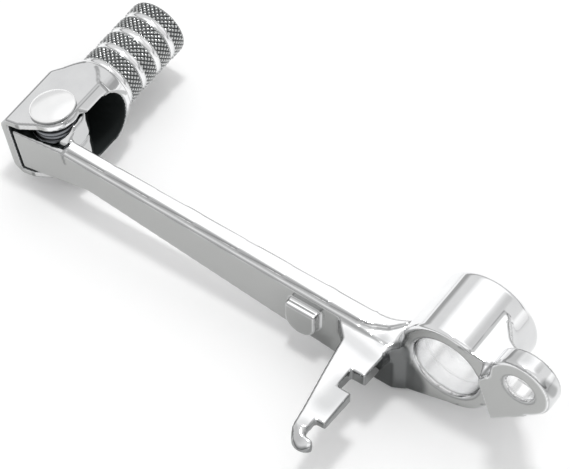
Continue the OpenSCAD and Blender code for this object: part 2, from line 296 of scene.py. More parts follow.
@dataclass(frozen=True)
class SoftZone:
    """A round zone in which a forging's shapes run softly into each other.

    Attributes:
        centre: Middle of the zone, in millimetres.
        radius: Radius of the zone, in millimetres.
        passes: Smoothing passes.
        clear: Radius about the middle that stays as it is, in millimetres.
    """

    centre: Triple
    radius: float
    passes: int
    clear: float = 0.0

    def soften(self, shape: BMesh) -> None:
        """Smooths the part of a skin that lies in the zone.

        Args:
            shape: The skin.
        """
        middle = Vector(self.centre) * MM
        near, far = self.clear * MM, self.radius * MM
        inside = [vert for vert in shape.verts if near < (vert.co - middle).length < far]
        MeshTools.smooth(shape, inside, 0.5, self.passes)


@dataclass(frozen=True)
class Shade:
    """A place where painted shade darkens the plating: in recesses and at joins, and as dark painted
    reflections on some walls.

    Attributes:
        start: One end of the place's middle line, in millimetres.
        end: Other end of the middle line, in millimetres.
        radius: Distance from the line over which it is full, in millimetres.
        fade: Distance over which it fades out, in millimetres.
        depth: How dark it is, from 0 to 1.
        facing: Direction that the shaded walls face, or None for all.
        turn: Smallest cosine between a wall and the direction.
    """

    start: Triple
    end: Triple
    radius: float
    fade: float
    depth: float
    facing: Triple | None = None
    turn: float = 0.6

    def at(self, point: Vector, normal: Vector) -> float:
        """Returns how much painted shade darkens the plating at a point.

        Args:
            point: The point.
            normal: The surface's normal there.
        """
        start, end = Vector(self.start) * MM, Vector(self.end) * MM
        line = end - start
        along = 0.0
        if line.length_squared > 0:
            along = clamped((point - start).dot(line) / line.length_squared)
        away = (point - start - line * along).length / MM
        share = clamped((self.radius + self.fade - away) / self.fade)
        if self.facing is not None:
            lean = normal.dot(Vector(self.facing).normalized())
            share *= clamped((lean - self.turn) / FACING_FADE)
        return self.depth * eased(share)


@dataclass
class ForgedSkin:
    """A close skin over a solid with the soft edges of a polished forging.

    Attributes:
        voxel: Size of the skin's faces.
        soft: Distance from a sharp edge within which the skin stays rounded.
        passes: Smoothing passes that round the edges.
        sharp: Smallest fold between faces that counts as an edge, in radians.
        walls: Round walls that are set to their exact radius.
        seam: Distance along X at which solids meet in a seam that doesn't show, or None.
        zones: Zones in which the shapes run softly into each other.
        shades: Places where painted shade darkens the plating.
        line: How dark the painted line along the edges is.
    """

    voxel: float
    soft: float
    passes: int = 6
    sharp: float = math.radians(24)
    walls: list[RoundWall] = field(default_factory=list)
    seam: float | None = None
    zones: tuple[SoftZone, ...] = ()
    shades: tuple[Shade, ...] = ()
    line: float = 0.5

    def edge_points(self, shape: BMesh) -> KDTree:
        """Returns points along the sharp edges of a solid.

        Args:
            shape: The solid's merged mesh.
        """
        points: list[Vector] = []
        step = self.voxel * 0.6
        for edge in shape.edges:
            start, end = edge.verts[0].co, edge.verts[1].co
            if self.seam is not None and max(abs(start.x - self.seam), abs(end.x - self.seam)) < SEAM_SLACK:
                continue
            if len(edge.link_faces) == 2 and edge.calc_face_angle(0.0) < self.sharp:
                continue
            count = max(1, int((end - start).length / step))
            points.extend(start.lerp(end, i / count) for i in range(count + 1))
        tree = KDTree(len(points))
        for index, point in enumerate(points):
            tree.insert(point, index)
        tree.balance()
        return tree

    def build(self, shape: BMesh, name: str) -> Piece:
        """Wraps a solid in an even mesh, rounds its edges and lays the rest on the solid.

        Args:
            shape: Merged mesh of the solid, which is freed.
            name: Name of the piece.

        Returns:
            The finished skin. Its attribute "dark" holds the painted shade along its edges and at its
            shades, and "flat" is 1 on the flats that face the near side, which carry a painted grey.
        """
        edges = self.edge_points(shape)
        surface = BVHTree.FromBMesh(shape)
        rough = MeshTools.to_object(shape, name + ".rough")
        remesh = rough.modifiers.new("even", "REMESH")
        remesh.mode = "VOXEL"
        remesh.voxel_size = self.voxel
        remesh.adaptivity = 0.0
        evaluated = rough.evaluated_get(bpy.context.evaluated_depsgraph_get())
        even = bmesh.new()
        even.from_mesh(evaluated.to_mesh())
        evaluated.to_mesh_clear()
        bpy.data.objects.remove(rough)
        MeshTools.smooth(even, even.verts[:], 0.5, self.passes)
        closeness = [self.lay(vert, edges, surface) for vert in even.verts]
        MeshTools.smooth(even, even.verts[:], 0.3, 1)
        for zone in self.zones:
            zone.soften(even)
        even.normal_update()
        # Marks the near-side flats for their satin roughness and their painted grey, then gathers the
        # painted shade.
        flatness = [clamped((-vert.normal.y - FLAT_START) / FLAT_FADE) for vert in even.verts]
        painted_darkness = [self.painted_darkness(vert, close) for vert, close in zip(even.verts, closeness)]
        skin = MeshTools.to_object(even, name)
        MeshTools.note(skin, "dark", painted_darkness)
        MeshTools.note(skin, "flat", flatness)
        return skin

    def painted_darkness(self, vert: BMVert, close: float) -> float:
        """Returns how much painted shade darkens the plating at a corner of the skin.

        Args:
            vert: The corner.
            close: How close it is to an edge, from 0 to 1.
        """
        # A painted dark line along the sharp edges.
        line = self.line * clamped((close - PAINTED_LINE_START) / PAINTED_LINE_FADE)
        shades = [shade.at(vert.co, vert.normal) for shade in self.shades]
        return max([line, *shades])

    def lay(self, vert: BMVert, edges: KDTree, surface: BVHTree) -> float:
        """Lays one corner of the skin on the solid, unless it rounds an edge.

        Args:
            vert: The corner, which is moved.
            edges: Points along the solid's sharp edges.
            surface: The solid's surface.

        Returns:
            How close the corner is to an edge, from 0 to 1.
        """
        found = edges.find(vert.co)
        away = found[2] if found[2] is not None else 1.0
        share = eased(clamped((away - 0.4 * self.soft) / self.soft))
        target = surface.find_nearest(vert.co)[0]
        if target is not None and share > 0:
            for wall in self.walls:
                settled = wall.settle(target, WALL_REACH)
                if settled is not None:
                    target = settled
                    break
            vert.co = vert.co.lerp(target, share)
        return 1.0 - share


class NodeKit:
    """Short helpers for building shader nodes."""

    @staticmethod
    def math(tree: Tree, kind: str, first: Socket | float, second: Socket | float) -> Socket:
        """Adds a Math node.

        Args:
            tree: Node tree to build in.
            kind: Operation of the node.
            first: Socket or number for the first input.
            second: Socket or number for the second input.

        Returns:
            The node's output.
        """
        node = tree.nodes.new("ShaderNodeMath")
        node.operation = kind
        for index, value in enumerate((first, second)):
            if isinstance(value, (int, float)):
                node.inputs[index].default_value = value
            else:
                tree.links.new(value, node.inputs[index])
        return node.outputs[0]

    @staticmethod
    def ramp(tree: Tree, value: Socket, stops: list[tuple[float, float]]) -> Socket:
        """Adds a grey ramp.

        Args:
            tree: Node tree to build in.
            value: Socket that drives the ramp.
            stops: Positions and greys of the ramp's stops.

        Returns:
            The ramp's colour output.
        """
        node = tree.nodes.new("ShaderNodeValToRGB")
        band = node.color_ramp
        for _ in range(len(stops) - 2):
            band.elements.new(0.5)
        for element, (position, grey) in zip(band.elements, stops):
            element.position = position
            element.color = (grey, grey, grey, 1.0)
        tree.links.new(value, node.inputs[0])
        return node.outputs[0]

    @staticmethod
    def mix(
        tree: Tree, kind: str, factor: Socket, first: Socket | Triple | float, second: Triple | float
    ) -> Socket:
        """Adds a Mix node.

        Args:
            tree: Node tree to build in.
            kind: RGBA or FLOAT.
            factor: Socket that drives the mix.
            first: Socket, colour or number at factor 0.
            second: Colour or number at factor 1.

        Returns:
            The mix's output.
        """
        node = tree.nodes.new("ShaderNodeMix")
        node.data_type = kind
        tree.links.new(factor, node.inputs["Factor"])
        for name, value in (("A", first), ("B", second)):
            if isinstance(value, Socket):
                tree.links.new(value, node.inputs[name])
            else:
                node.inputs[name].default_value = (*value, 1.0) if kind == "RGBA" else value
        return node.outputs["Result"]

    @staticmethod
    def attribute(tree: Tree, name: str) -> Socket:
        """Adds an Attribute node and returns its value output.

        Args:
            tree: Node tree to build in.
            name: Name of the attribute.
        """
        node = tree.nodes.new("ShaderNodeAttribute")
        node.attribute_name = name
        return node.outputs["Fac"]

    @staticmethod
    def noise(tree: Tree, vector: Socket, scale: float, detail: float) -> Socket:
        """Adds a noise texture.

        Args:
            tree: Node tree to build in.
            vector: Socket with the coordinates.
            scale: Scale of the noise.
            detail: Detail of the noise.

        Returns:
            The noise's value output.
        """
        node = tree.nodes.new("ShaderNodeTexNoise")
        node.inputs["Scale"].default_value = scale
        node.inputs["Detail"].default_value = detail
        tree.links.new(vector, node.inputs["Vector"])
        return node.outputs["Fac"]


class SharedEffects:
    """Surface effects that several finishes use, each built once as a node group."""

    @staticmethod
    def group(name: str, values: list[str], outputs: list[str], fill: Callable[[Tree], None]) -> Tree:
        """Builds a node group once.

        Args:
            name: Name of the group.
            values: Names of its value inputs, which follow the coordinates.
            outputs: Names of its value outputs.
            fill: Function that fills the group.

        Returns:
            The group.
        """
        ready = bpy.data.node_groups.get(name)
        if ready is not None:
            return ready
        tree = bpy.data.node_groups.new(name, "ShaderNodeTree")
        tree.interface.new_socket("Vector", in_out="INPUT", socket_type="NodeSocketVector")
        for label in values:
            tree.interface.new_socket(label, in_out="INPUT", socket_type="NodeSocketFloat")
        for label in outputs:
            tree.interface.new_socket(label, in_out="OUTPUT", socket_type="NodeSocketFloat")
        fill(tree)
        return tree

    @classmethod
    def polish(cls) -> Tree:
        """Returns the group for hand polishing: long soft waves, a fine haze and rare scratches."""

        def fill(tree: Tree) -> None:
            """Fills the group.

            Args:
                tree: The group's tree.
            """
            given = tree.nodes.new("NodeGroupInput")
            out = tree.nodes.new("NodeGroupOutput")
            spot = given.outputs["Vector"]
            wave = NodeKit.noise(tree, spot, 55.0, 1.0)
            grain = NodeKit.noise(tree, spot, 2600.0, 3.0)
            stretch = tree.nodes.new("ShaderNodeMapping")
            stretch.inputs["Scale"].default_value = (18.0, 900.0, 260.0)
            tree.links.new(spot, stretch.inputs["Vector"])
            lines = NodeKit.noise(tree, stretch.outputs["Vector"], 3.0, 4.0)
            thin = NodeKit.ramp(tree, lines, [(0.0, 0.0), (0.62, 0.0), (0.70, 1.0)])
            cloud = NodeKit.noise(tree, spot, 130.0, 4.0)
            fine = NodeKit.math(tree, "MULTIPLY", grain, given.outputs["Grain"])
            total = NodeKit.math(tree, "ADD", wave, fine)
            score = NodeKit.math(tree, "MULTIPLY", thin, given.outputs["Scratch"])
            tree.links.new(NodeKit.math(tree, "SUBTRACT", total, score), out.inputs["Height"])
            haze = NodeKit.ramp(tree, cloud, [(0.35, 0.0), (0.75, 1.0)])
            mixed = NodeKit.math(tree, "MAXIMUM", haze, score)
            tree.links.new(mixed, out.inputs["Haze"])

        return cls.group("hand_polish", ["Grain", "Scratch"], ["Height", "Haze"], fill)

    @classmethod
    def turning(cls) -> Tree:
        """Returns the group for turned work: fine rings side by side along the tool's feed."""

        def fill(tree: Tree) -> None:
            """Fills the group.

            Args:
                tree: The group's tree.
            """
            given = tree.nodes.new("NodeGroupInput")
            out = tree.nodes.new("NodeGroupOutput")
            squeeze = tree.nodes.new("ShaderNodeMapping")
            squeeze.inputs["Scale"].default_value = (40.0, 2600.0, 40.0)
            tree.links.new(given.outputs["Vector"], squeeze.inputs["Vector"])
            rings = NodeKit.noise(tree, squeeze.outputs["Vector"], 1.0, 3.0)
            coarse = NodeKit.noise(tree, squeeze.outputs["Vector"], 0.22, 2.0)
            both = NodeKit.math(tree, "ADD", rings, coarse)
            height = NodeKit.math(tree, "MULTIPLY", both, given.outputs["Depth"])
            tree.links.new(height, out.inputs["Height"])
            streak = NodeKit.ramp(tree, coarse, [(0.38, 0.0), (0.66, 1.0)])
            tree.links.new(streak, out.inputs["Streak"])

        return cls.group("turned_rings", ["Depth"], ["Height", "Streak"], fill)


@dataclass(frozen=True)
class MetalFinish:
    """One metal finish.

    Attributes:
        name: Name of the material.
        color: Colour where the metal is cleanest.
        shade: Colour in the haze.
        gloss: Roughness where the metal is cleanest.
        haze: Roughness in the haze.
        satin: Roughness of the flats on the near side, or None where they shine like the rest.
        ground: Painted grey of these flats, which stands in for a darker reflection.
        wave: Height of the long polishing waves, in metres.
        grain: Height of the fine grain against the waves.
        scratch: Depth of the scratches against the waves.
        turned: Height of the turned rings against the waves.
        metallic: Metallic value.
        dark: Colour of the painted shade in recesses and along edges, where the attribute "dark" is 1, or
            None.
    """

    name: str
    color: Triple
    shade: Triple
    gloss: float = 0.05
    haze: float = 0.12
    satin: float | None = None
    ground: Triple = (0.43, 0.435, 0.43)
    wave: float = 0.00004
    grain: float = 0.01
    scratch: float = 0.02
    turned: float = 0.0
    metallic: float = 1.0
    dark: Triple | None = None

    def material(self) -> bpy.types.Material:
        """Builds the finish, or returns it where it is already there."""
        ready = bpy.data.materials.get(self.name)
        if ready is not None:
            return ready
        made = bpy.data.materials.new(self.name)
        made.use_nodes = True
        tree = made.node_tree
        shader = tree.nodes["Principled BSDF"]
        spot = tree.nodes.new("ShaderNodeTexCoord").outputs["Object"]
        polish = tree.nodes.new("ShaderNodeGroup")
        polish.node_tree = SharedEffects.polish()
        tree.links.new(spot, polish.inputs["Vector"])
        polish.inputs["Grain"].default_value = self.grain
        polish.inputs["Scratch"].default_value = self.scratch
        height, haze = polish.outputs["Height"], polish.outputs["Haze"]
        if self.turned > 0:
            rings = tree.nodes.new("ShaderNodeGroup")
            rings.node_tree = SharedEffects.turning()
            tree.links.new(spot, rings.inputs["Vector"])
            rings.inputs["Depth"].default_value = self.turned
            height = NodeKit.math(tree, "ADD", height, rings.outputs["Height"])
            haze = NodeKit.math(tree, "MAXIMUM", haze, rings.outputs["Streak"])
        tint = NodeKit.mix(tree, "RGBA", haze, self.color, self.shade)
        roughness = NodeKit.mix(tree, "FLOAT", haze, self.gloss, self.haze)
        # Near-side flats: satin roughness, and a painted grey that stands in for a darker reflection.
        if self.satin is not None:
            flat = NodeKit.attribute(tree, "flat")
            roughness = NodeKit.mix(tree, "FLOAT", flat, roughness, self.satin)
            tint = NodeKit.mix(tree, "RGBA", flat, tint, self.ground)
        # Painted shade: the colour turns dark where the attribute "dark" is 1.
        if self.dark is not None:
            tint = NodeKit.mix(tree, "RGBA", NodeKit.attribute(tree, "dark"), tint, self.dark)
        tree.links.new(tint, shader.inputs["Base Color"])
        tree.links.new(roughness, shader.inputs["Roughness"])
        bump = tree.nodes.new("ShaderNodeBump")
        bump.inputs["Strength"].default_value = 1.0
        bump.inputs["Distance"].default_value = self.wave
        tree.links.new(height, bump.inputs["Height"])
        tree.links.new(bump.outputs["Normal"], shader.inputs["Normal"])
        shader.inputs["Metallic"].default_value = self.metallic
        return made


class Finishes:
    """All finishes of the pedal."""

    # The near-side flats' grey and the dark colour paint shade and dark reflections onto the plating.
    polished = MetalFinish(
        "polished_plating", (0.93, 0.935, 0.94), (0.86, 0.865, 0.875), 0.045, 0.085, satin=0.2,
        wave=0.00006, grain=0.006, scratch=0.012, dark=(0.05, 0.055, 0.055),
    )
    # A dark colour that paints shade on the insides of hollows and pockets.
    cavity_shade = MetalFinish(
        "painted_cavity_shade", (0.028, 0.033, 0.033), (0.02, 0.024, 0.024), 0.35, 0.55,
        wave=0.0001, grain=0.05, scratch=0.0, metallic=0.4,
    )
    turned = MetalFinish(
        "turned_bore", (1.0, 1.0, 1.0), (0.93, 0.935, 0.94), 0.2, 0.3,
        wave=0.00003, grain=0.02, scratch=0.0, turned=0.6,
    )
    # The dark colour paints shade into the knurl's valleys.
    knurl = MetalFinish(
        "knurled_band", (0.8, 0.81, 0.81), (0.6, 0.61, 0.61), 0.12, 0.3,
        wave=0.00002, grain=0.08, scratch=0.0, dark=(0.03, 0.035, 0.035),
    )
    # The dark colour paints shade on the side of the head and on the shank.
    rivet = MetalFinish(
        "rivet_head", (0.95, 0.95, 0.95), (0.88, 0.885, 0.89), 0.05, 0.1,
        wave=0.00003, grain=0.01, scratch=0.02, metallic=0.45, dark=(0.08, 0.085, 0.085),
    )
    wire = MetalFinish(
        "spring_wire", (0.2, 0.205, 0.205), (0.1, 0.105, 0.105), 0.26, 0.45,
        wave=0.00002, grain=0.1, scratch=0.08,
    )


@dataclass
class Casting:
    """The forged pedal: hub, arm, hook plate, ear, stop lug and toe head.

    Attributes:
        hub_radius: Outside radius of the hub.
        bore_radius: Radius of the pivot bore.
        half_length: Half of the hub's length.
        ear: Centre of the push-rod ear's hole.
        ear_radius: Outside radius of the ear.
        ear_hole: Radius of the ear's hole.
        fold: Frame of the toe head.
        pocket_radius: Radius of the toe head's spring pocket, and of its foot.
        boss_radius: Radius of the toe head's boss.
        tongue_radius: Radius of the toe head under the boss.
        nodes: Solids that the casting's skin covers.
        zones: Zones in which the casting's shapes run softly into each other.
        shades: Places where painted shade and dark painted reflections darken the plating.
    """

    hub_radius: float = 15.0 * MM
    bore_radius: float = 10.25 * MM
    half_length: float = 11.75 * MM
    ear: Vector = field(default_factory=lambda: Vector((25.6 * MM, -13.75 * MM, 17.4 * MM)))
    ear_radius: float = 9.6 * MM
    ear_hole: float = 4.25 * MM
    fold: FoldFrame = field(default_factory=FoldFrame)
    pocket_radius: float = 7.2 * MM
    boss_radius: float = 8.4 * MM
    tongue_radius: float = 7.7 * MM
    nodes: tuple[str, ...] = ("pedal_hub", "pedal_arm", "hook_plate")
    zones: tuple[SoftZone, ...] = (
        SoftZone((15.5, -3.0, 9.5), 9.0, 45),
        SoftZone((13.0, -9.0, 2.0), 5.0, 20),
        SoftZone((-19.0, -52.0, -4.0), 5.5, 22),
        SoftZone((-22.0, -15.5, -4.0), 6.5, 14),
        SoftZone((-17.0, -6.0, 0.0), 8.0, 30),
        SoftZone((-13.5, -12.5, -0.5), 5.5, 24),
        SoftZone((25.6, -16.75, 17.4), 11.0, 22, 6.3),
    )
    # Painted shade in recesses and at joins, and dark painted reflections on some walls.
    shades: tuple[Shade, ...] = (
        Shade((-13.6, -12.8, -2.0), (-13.6, -12.8, -19.0), 2.3, 1.4, 0.85),
        Shade((-22.0, -13.7, -12.5), (-14.0, -13.0, -14.0), 7.0, 3.0, 0.82, (0, -1, 0)),
        Shade((-37.0, -13.7, -9.0), (-30.0, -13.7, -9.0), 3.0, 18.0, 0.3, (0, -1, 0), 0.8),
        Shade((-20.0, -54.0, -3.0), (-20.0, -18.0, -4.0), 7.0, 1.0, 0.8, (1, 0, -0.2), 0.5),
        Shade((-18.0, -54.0, -3.0), (-18.0, -18.0, -4.0), 7.0, 1.0, 0.7, (0, 1, 0), 0.6),
        Shade((-18.0, -50.0, -3.0), (-18.0, -18.0, -4.0), 7.0, 1.0, 0.7, (0, -1, 0), 0.6),
        Shade((-27.0, -52.0, -3.0), (-31.0, -17.0, -4.0), 5.0, 1.0, 0.85, (-1, 0, 0.1), 0.35),
        Shade((0.0, 0.0, 0.0), (30.0, 0.0, 12.0), 28.0, 2.0, 0.24, (1, 0, -0.25), 0.5),
        Shade((-126.0, -4.0, 0.0), (-126.0, -4.0, -12.0), 5.0, 3.0, 0.35, (1, -0.2, 0), 0.2),
        Shade((-29.2, -17.0, -1.0), (-18.2, -19.0, -1.0), 0.6, 2.6, 0.22, (0, 0, 1)),
        Shade((-20.0, -38.0, -1.0), (-19.0, -31.0, -1.0), 1.0, 5.0, 0.3, (0, 0, 1)),
        Shade((-21.0, -51.0, -2.0), (-21.0, -48.0, -1.0), 1.0, 3.0, 0.3, (0, 0, 1), 0.4),
        Shade((33.0, -15.5, 23.5), (34.5, -14.0, 20.5), 0.9, 1.8, 0.6, (1, 0, 0.6), 0.5),
        Shade((22.0, -14.5, 26.0), (24.5, -13.0, 27.0), 0.8, 3.0, 0.3, (-0.2, 0, 1), 0.6),
        Shade((-19.0, -13.0, 1.0), (-13.5, -12.5, 5.0), 1.0, 2.6, 0.4),
    )

    def walls(self) -> list[RoundWall]:
        """Returns the casting's round walls."""
        bore, ear, head = bore_frame(Vector()), bore_frame(self.ear), self.fold.matrix()
        return [
            RoundWall(bore, self.bore_radius, -11.2 * MM, 11.2 * MM),
            RoundWall(bore, self.hub_radius, -10.6 * MM, 9.8 * MM),
            RoundWall(ear, self.ear_hole, -2.4 * MM, 2.4 * MM),
            RoundWall(ear, self.ear_radius, -3.1 * MM, 3.1 * MM),
            RoundWall(head, self.pocket_radius, 1.5 * MM, 8.2 * MM),
            RoundWall(head, self.boss_radius, 0.5 * MM, 7.3 * MM),
            RoundWall(head, self.pocket_radius, -1.1 * MM, 0.7 * MM),
            RoundWall(head, self.tongue_radius, -8.2 * MM, -0.9 * MM),
        ]

    def region(self, centre: Vector, normal: Vector) -> Region:
        """Tells which finish a face of the casting carries.

        Args:
            centre: Middle of the face.
            normal: The face's normal, which is not used.

        Returns:
            The face's region.
        """
        out = math.hypot(centre.x, centre.z)
        if out < self.bore_radius + 0.2 * MM and abs(centre.y) < self.half_length:
            return Region.TURNED
        if math.hypot(centre.x - self.ear.x, centre.z - self.ear.z) < self.ear_hole + 0.2 * MM:
            return Region.TURNED
        # Faces in the toe head's pocket get the cavity finish, a dark painted shade.
        local = self.fold.matrix().inverted() @ centre
        if math.hypot(local.x, local.y) < self.pocket_radius + 0.15 * MM and 1.4 * MM < local.z < 7.6 * MM:
            return Region.CAVITY
        return Region.POLISHED

    def build(self, frame: dict) -> Piece:
        """Builds and dresses the casting.

        Args:
            frame: The loaded frame.

        Returns:
            The casting's skin.
        """
        forged = ForgedSkin(
            voxel=0.4 * MM, soft=0.75 * MM, passes=5, walls=self.walls(), seam=-self.hub_radius - 1.3 * MM,
            zones=self.zones, shades=self.shades,
        )
        solids = [frame["nodes"][name] for name in self.nodes]
        skin = forged.build(MeshTools.merged_copy(*solids), "casting_skin")
        dress(skin, [Finishes.polished, Finishes.cavity_shade, Finishes.turned], self.region)
        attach(skin, "pedal")
        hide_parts(*self.nodes)
        return skin


def dress(
    piece: Piece, finishes: list[MetalFinish], region: Callable[[Vector, Vector], Region]
) -> None:
    """Gives a piece its finishes, face by face.

    Args:
        piece: The piece to dress.
        finishes: One finish for each region, in the order of Region.
        region: Function that names the region of a face from its middle and normal.
    """
    for finish in finishes:
        piece.data.materials.append(finish.material())
    for face in piece.data.polygons:
        face.material_index = min(region(face.center, face.normal).value, len(finishes) - 1)


@dataclass
class ToeBody:
    """The fork and round body of the toe piece, without its peg.

    Attributes:
        fold: Frame in which the toe piece is measured.
        body_end: Where the round body ends and the peg starts.
        hollow: Radius of the hollow's round end, which is also half of its height.
        hollow_centre: Distance from the rivet to the middle of the hollow's round end.
        web: Inside of the web.
        body_radius: Radius of the body's end.
        rivet_hole: Radius of the rivet's hole.
        offset: Offset of the peg's axis from the rivet.
    """

    fold: FoldFrame = field(default_factory=FoldFrame)
    body_end: float = 20.46 * MM
    hollow: float = 8.06 * MM
    hollow_centre: float = 9.9 * MM
    web: float = 9.75 * MM
    body_radius: float = 10.1 * MM
    rivet_hole: float = 4.0 * MM
    offset: float = 1.3 * MM

    def region(self, centre: Vector, normal: Vector) -> Region:
        """Tells which finish a face carries.

        Args:
            centre: Middle of the face.
            normal: The face's normal, which is not used.

        Returns:
            The face's region.
        """
        local = self.fold.matrix().inverted() @ centre
        slack = 0.3 * MM
        inside = abs(local.z) < self.hollow + slack and local.x > -self.web - slack and local.x < 8.6 * MM
        if local.y > self.hollow_centre:
            inside = inside and math.hypot(local.y - self.hollow_centre, local.z) < self.hollow + slack
        # Faces in the fork's hollow get the cavity finish, a dark painted shade.
        return Region.CAVITY if inside and local.y > -9.3 * MM else Region.POLISHED

    def build(self, frame: dict) -> Piece:
        """Builds and dresses the fork and its round body.

        Args:
            frame: The loaded frame.

        Returns:
            The body's skin.
        """
        shape = MeshTools.merged_copy(frame["nodes"]["toe_piece"])
        place = self.fold.matrix()
        cut = place @ Vector((0, self.body_end + 0.5 * MM, 0))
        along = (place.to_3x3() @ Vector((0, 1, 0))).normalized()
        bmesh.ops.bisect_plane(
            shape, geom=shape.verts[:] + shape.edges[:] + shape.faces[:], dist=1e-7,
            plane_co=cut, plane_no=along, clear_outer=True,
        )
        rim = [edge for edge in shape.edges if edge.is_boundary]
        bmesh.ops.contextual_create(shape, geom=rim)
        bmesh.ops.recalc_face_normals(shape, faces=shape.faces[:])
        walls = [
            RoundWall(self.fold.peg(self.offset), self.body_radius, 19.9 * MM, 20.4 * MM),
            RoundWall(place, self.rivet_hole, -10.4 * MM, 10.4 * MM),
        ]
        forged = ForgedSkin(voxel=0.32 * MM, soft=0.9 * MM, passes=8, walls=walls)
        skin = forged.build(shape, "toe_body_skin")
        dress(skin, [Finishes.polished, Finishes.cavity_shade], self.region)
        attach(skin, "toe")
        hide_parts("toe_piece")
        return skin


@dataclass
class KnurledPeg:
    """The round peg with its knurled bands and the smooth grooves between them.

    Attributes:
        fold: Frame in which the toe piece is measured.
        start: Where the peg leaves the body.
        offset: Offset of the peg's axis from the rivet.
        groove_radius: Radius of the smooth grooves.
        band_radius: Radius of the tips of the knurl.
        bands: Number of knurled bands.
        band: Width of a band.
        groove: Width of a groove.
        teeth: Diamonds round a band.
        rows: Rows of corners along a band.
        depth: Depth of the knurl.
        ease: Rounding of a band's edges.
        end_chamfer: Chamfer of the peg's end.
    """

    fold: FoldFrame = field(default_factory=FoldFrame)
    start: float = 20.46 * MM
    offset: float = 1.3 * MM
    groove_radius: float = 8.6 * MM
    band_radius: float = 9.2 * MM
    bands: int = 4
    band: float = 4.7 * MM
    groove: float = 2.1 * MM
    teeth: int = 36
    rows: int = 31
    depth: float = 0.42 * MM
    ease: float = 0.22 * MM
    end_chamfer: float = 0.7 * MM

    def outline(self) -> list[tuple[float, float]]:
        """Returns the peg's outline as radius and distance along the peg."""
        foot = self.start - 1.2 * MM
        points = [(0.0, foot), (self.groove_radius, foot), (self.groove_radius, self.start + 0.35 * MM)]
        end = self.start
        for index in range(self.bands):
            start, last = end + self.groove, index == self.bands - 1
            end = start + self.band
            chamfer = self.end_chamfer if last else self.ease
            points.append((self.groove_radius - 0.08 * MM, start - self.groove / 2))
            points.append((self.groove_radius, start - 0.02 * MM))
            points.append((self.band_radius - self.ease, start))
            low, high = start + self.ease, end - chamfer
            steps = [low + (high - low) * row / self.rows for row in range(self.rows + 1)]
            points.extend((self.band_radius, step) for step in steps)
            if last:
                points.append((self.band_radius - chamfer * 0.35, end - 0.32 * MM))
            points.append((self.band_radius - chamfer, end))
            if not last:
                points.append((self.groove_radius, end + 0.02 * MM))
        points.append((0.0, end))
        return points

    def cut(self, shape: BMesh) -> list[float]:
        """Presses the diamonds into the bands.

        Args:
            shape: The turned peg in its own frame, along Z.

        Returns:
            How deep each corner is sunk, from 0 to 1.
        """
        depths: list[float] = []
        pitch = 2 * math.pi * self.band_radius / self.teeth
        for vert in shape.verts:
            out = math.hypot(vert.co.x, vert.co.y)
            depths.append(0.0)
            if out < self.band_radius - 0.01 * MM:
                continue
            around = math.atan2(vert.co.y, vert.co.x) * self.band_radius / pitch
            along = vert.co.z / pitch
            first, second = (around + along) % 1.0, (around - along) % 1.0
            ridge = min(1 - abs(2 * first - 1), 1 - abs(2 * second - 1))
            depths[-1] = 1 - min(1.0, ridge * 1.25)
            scale = (out - self.depth * depths[-1]) / out
            vert.co.x *= scale
            vert.co.y *= scale
        return depths

    def build(self) -> Piece:
        """Builds and dresses the peg."""
        shape = MeshTools.spun(self.outline(), Matrix.Identity(4), self.teeth * 10)
        depths = self.cut(shape)
        place = self.fold.peg(self.offset)
        bmesh.ops.transform(shape, matrix=place, verts=shape.verts[:])
        peg = MeshTools.to_object(shape, "knurled_peg")
        # Painted shade darkens the knurl's valleys by their depth.
        MeshTools.note(peg, "dark", [clamped((depth - SINK_START) / SINK_FADE) for depth in depths])
        inverse, edge = place.inverted(), self.groove_radius + 0.06 * MM
        # The second finish, which CAVITY names, is here the knurl's.
        dress(
            peg, [Finishes.polished, Finishes.knurl],
            lambda spot, normal: Region.CAVITY if (inverse @ spot).xy.length > edge else Region.POLISHED,
        )
        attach(peg, "toe")
        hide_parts("toe_piece")
        return peg


@dataclass
class Rivet:
    """The rivet with its broad low head and its peened tail.

    Attributes:
        fold: Frame of the rivet.
        shank: Radius of the shank.
        head: Radius of the head.
        seat: Outer face of the fork's ear above the middle of the rivet.
        rim: Height of the head's straight rim.
        dome: Height of the head's dome.
        tail: Radius of the tail.
        dome_steps: Steps in the dome's outline.
    """

    fold: FoldFrame = field(default_factory=FoldFrame)
    shank: float = 3.98 * MM
    head: float = 6.75 * MM
    seat: float = 10.51 * MM
    rim: float = 1.0 * MM
    dome: float = 0.9 * MM
    tail: float = 5.3 * MM
    dome_steps: int = 12

    def outline(self) -> list[tuple[float, float]]:
        """Returns the rivet's outline as radius and height."""
        low = -self.seat - 1.2 * MM
        points = [(0.0, low), (self.tail - 0.9 * MM, low), (self.tail - 0.3 * MM, low + 0.15 * MM)]
        points += [(self.tail, low + 0.5 * MM), (self.tail, -self.seat), (self.shank, -self.seat)]
        points += [(self.shank, self.seat), (self.head - 0.25 * MM, self.seat)]
        points.append((self.head, self.seat + 0.25 * MM))
        top = self.seat + self.rim
        points.append((self.head, top - 0.35 * MM))
        points.append((self.head - 0.1 * MM, top - 0.08 * MM))
        start = 0.12 * MM
        for step in range(self.dome_steps + 1):
            share = 1 - step / self.dome_steps
            radius = (self.head - 0.35 * MM) * share
            points.append((radius, top + start + (self.dome - start) * (1 - share * share)))
        return points

    def build(self) -> Piece:
        """Builds and dresses the rivet."""
        shape = MeshTools.spun(self.outline(), self.fold.matrix(), 128)
        rivet = MeshTools.to_object(shape, "rivet")
        inverse = self.fold.matrix().inverted()
        heights = [(inverse @ vert.co).z for vert in rivet.data.vertices]
        rim = self.seat + self.rim
        # Painted shade darkens the head's side and the shank below the top of the head's rim.
        MeshTools.note(rivet, "dark", [0.75 if height < rim - 0.3 * MM else 0.0 for height in heights])
        dress(rivet, [Finishes.rivet], lambda centre, normal: Region.POLISHED)
        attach(rivet, "toe")
        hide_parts("pivot_rivet")
        return rivet


